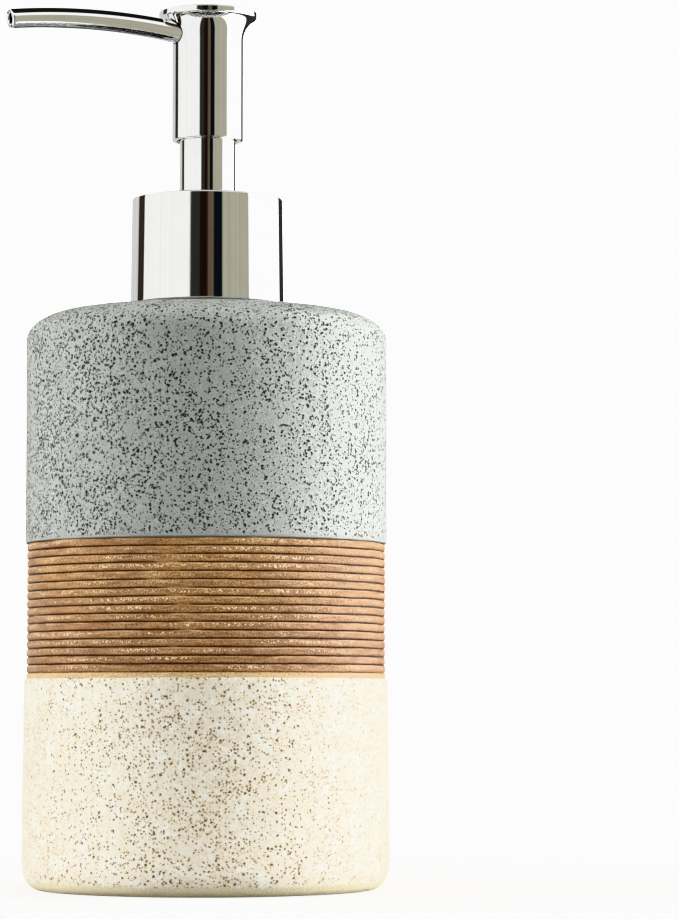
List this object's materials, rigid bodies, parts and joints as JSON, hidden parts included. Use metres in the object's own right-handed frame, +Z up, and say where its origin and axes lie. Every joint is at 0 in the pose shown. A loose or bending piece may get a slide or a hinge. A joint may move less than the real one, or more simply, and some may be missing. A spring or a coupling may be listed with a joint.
{
  "type": "soap pump dispenser",
  "caption": "Countertop soap dispenser: glazed stoneware bottle with a ribbed waist, a screw-on chrome collar and a push-down pump head with a swivelling arched spout.",
  "frame": {"origin": "centre of the flat underside of the bottle, on the pump axis", "axes": "+Z up along the pump axis, -X along the spout, +Y completes the right-handed frame"},
  "size_m": [0.0845, 0.0772, 0.1858],
  "materials": {
    "stoneware": "stoneware with three glazes: satin pitted grey-green above, satin golden brown on the ribs, semi-matt speckled cream below, bare clay at the foot",
    "chrome": "polished chrome plate",
    "white_plastic": "moulded white polypropylene",
    "clear_plastic": "natural translucent polypropylene",
    "soft_seal": "soft off-white sealing polymer",
    "spring_steel": "drawn stainless spring wire",
    "ball_steel": "polished stainless ball"
  },
  "bodies": {
    "bottle": {"bottle_body": "stoneware", "neck_insert": "white_plastic"},
    "pump": {"pump_housing": "clear_plastic", "neck_gasket": "soft_seal", "chaplet": "white_plastic", "return_spring": "spring_steel", "dip_tube": "clear_plastic"},
    "collar": {"collar_shell": "chrome", "screw_closure": "white_plastic", "neck_sleeve": "chrome"},
    "plunger": {"stem": "white_plastic", "piston_seat": "white_plastic"},
    "piston": {"piston": "soft_seal"},
    "ball": {"check_ball": "ball_steel"},
    "head": {"head_shell": "chrome", "head_core": "white_plastic", "head_cap": "chrome", "spout_tube": "chrome"}
  },
  "joints": [
    {"name": "pump_lift", "type": "slide", "parent": "bottle", "child": "pump", "axis": [0, 0, 1], "range_m": [0, 0.1352]},
    {"name": "collar_turn", "type": "hinge", "parent": "pump", "child": "collar", "pos_m": [0, 0, 0.13], "axis": [0, 0, 1], "range_deg": [0, 11480]},
    {"name": "head_press", "type": "slide", "parent": "pump", "child": "plunger", "axis": [0, 0, -1], "range_m": [0, 0.012], "stiffness_N_per_m": 400, "springref_m": -0.008, "deforming": ["return_spring"]},
    {"name": "head_swivel", "type": "hinge", "parent": "plunger", "child": "head", "pos_m": [0, 0, 0.17], "axis": [0, 0, 1], "continuous": true},
    {"name": "piston_float", "type": "slide", "parent": "plunger", "child": "piston", "axis": [0, 0, 1], "range_m": [0, 0.0012]},
    {"name": "ball_lift", "type": "slide", "parent": "pump", "child": "ball", "axis": [0, 0, 1], "range_m": [0, 0.0015]}
  ],
  "couplings": [
    {"joint": "pump_lift", "follows": "collar_turn", "m_per_rad": 0.00067376}
  ]
}
